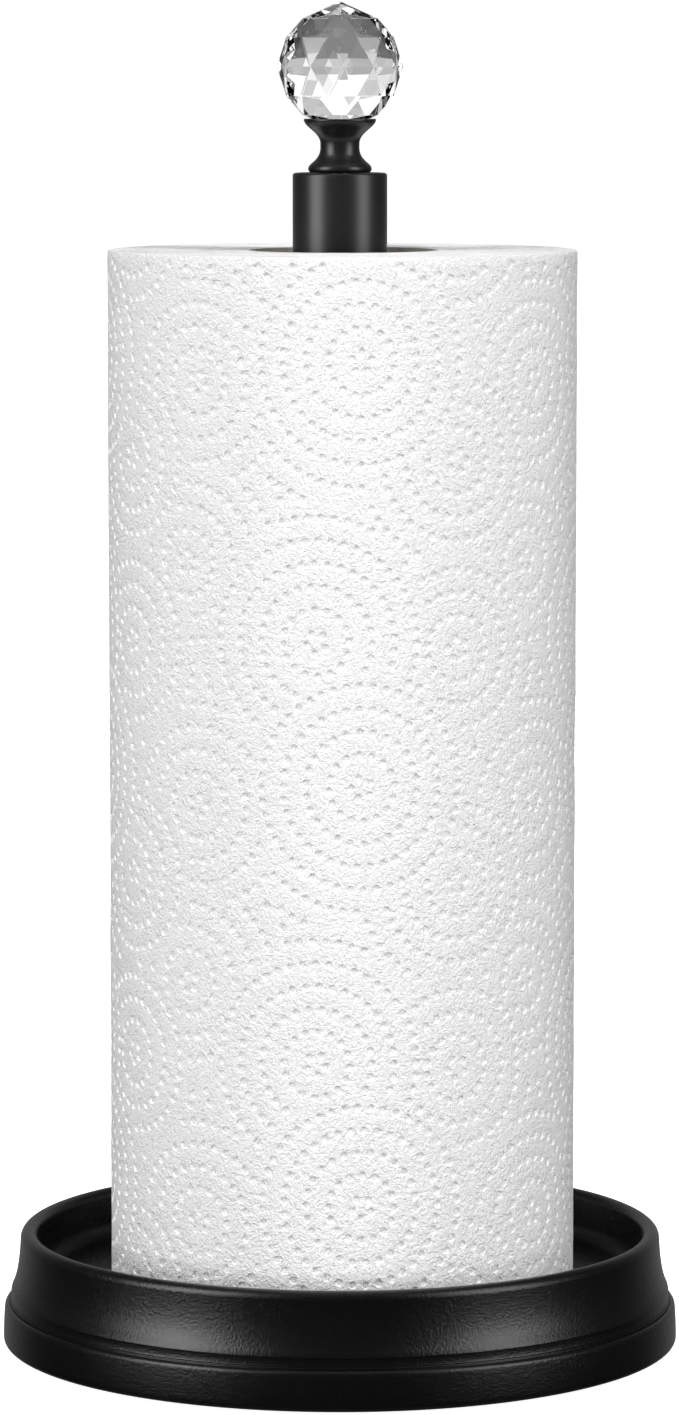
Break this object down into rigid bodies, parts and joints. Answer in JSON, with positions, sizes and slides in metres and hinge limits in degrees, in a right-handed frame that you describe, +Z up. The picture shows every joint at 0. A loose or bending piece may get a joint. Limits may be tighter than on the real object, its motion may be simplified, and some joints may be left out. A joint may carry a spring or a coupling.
{
  "type": "paper towel holder",
  "caption": "Countertop paper towel holder: weighted round dish base, upright tube post, cut-crystal ball finial and a full paper roll that spins and lifts off.",
  "frame": {"origin": "on the post's axis, on the surface that the feet stand on", "axes": "+Z up along the post, -Y towards the viewer in the picture, +X to the viewer's right"},
  "size_m": [0.184, 0.184, 0.3642],
  "materials": {
    "black_powder_coat": "fine-grained satin black powder coat",
    "black_satin_post": "smooth satin black lacquer",
    "black_satin_finial": "satin black lacquer, slightly glossier than the post",
    "black_cover_plate": "flat black",
    "ballast_iron": "raw, slightly rough",
    "zinc_plated_steel": "bright zinc plate",
    "clear_silicone": "milky translucent silicone",
    "clear_cement": "clear set adhesive",
    "clear_crystal": "colourless cut crystal with flat polished facets",
    "grey_cardboard": "matt spiral-wound board",
    "white_paper": "soft white tissue, layered on the roll's ends",
    "white_paper_sheet": "soft white tissue with embossed dots and crepe"
  },
  "bodies": {
    "holder": {"base_shell": "black_powder_coat", "ballast_ring": "ballast_iron", "base_cover": "black_cover_plate", "cover_screw_1": "zinc_plated_steel", "cover_screw_2": "zinc_plated_steel", "cover_screw_3": "zinc_plated_steel", "foot_pad_1": "clear_silicone", "foot_pad_2": "clear_silicone", "foot_pad_3": "clear_silicone", "foot_pad_4": "clear_silicone", "foot_pad_5": "clear_silicone", "foot_pad_6": "clear_silicone", "post_tube": "black_satin_post", "upper_plug": "black_satin_post", "lower_plug": "zinc_plated_steel", "post_bolt": "zinc_plated_steel", "bolt_washer": "zinc_plated_steel", "spring_washer": "zinc_plated_steel"},
    "roll_core": {"roll_core": "grey_cardboard"},
    "paper_roll": {"paper_winding": "white_paper", "outer_sheet": "white_paper_sheet"},
    "finial_stud": {"finial_stud": "zinc_plated_steel"},
    "finial_knob": {"finial_neck": "black_satin_finial", "ball_cement": "clear_cement", "crystal_ball": "clear_crystal"}
  },
  "joints": [
    {"name": "roll_lift", "type": "slide", "parent": "holder", "child": "roll_core", "axis": [0, 0, 1], "range_m": [0, 0.356]},
    {"name": "roll_spin", "type": "hinge", "parent": "roll_core", "child": "paper_roll", "pos_m": [0.0008, 0, 0.0185], "axis": [0, 0, 1], "continuous": true},
    {"name": "finial_rise", "type": "slide", "parent": "holder", "child": "finial_stud", "axis": [0, 0, 1], "range_m": [0, 0.008]},
    {"name": "finial_unscrew", "type": "hinge", "parent": "finial_stud", "child": "finial_knob", "pos_m": [0, 0, 0.3188], "axis": [0, 0, 1], "range_deg": [0, 2880]}
  ],
  "couplings": [
    {"joint": "finial_rise", "follows": "finial_unscrew", "m_per_rad": 0.00015915}
  ]
}
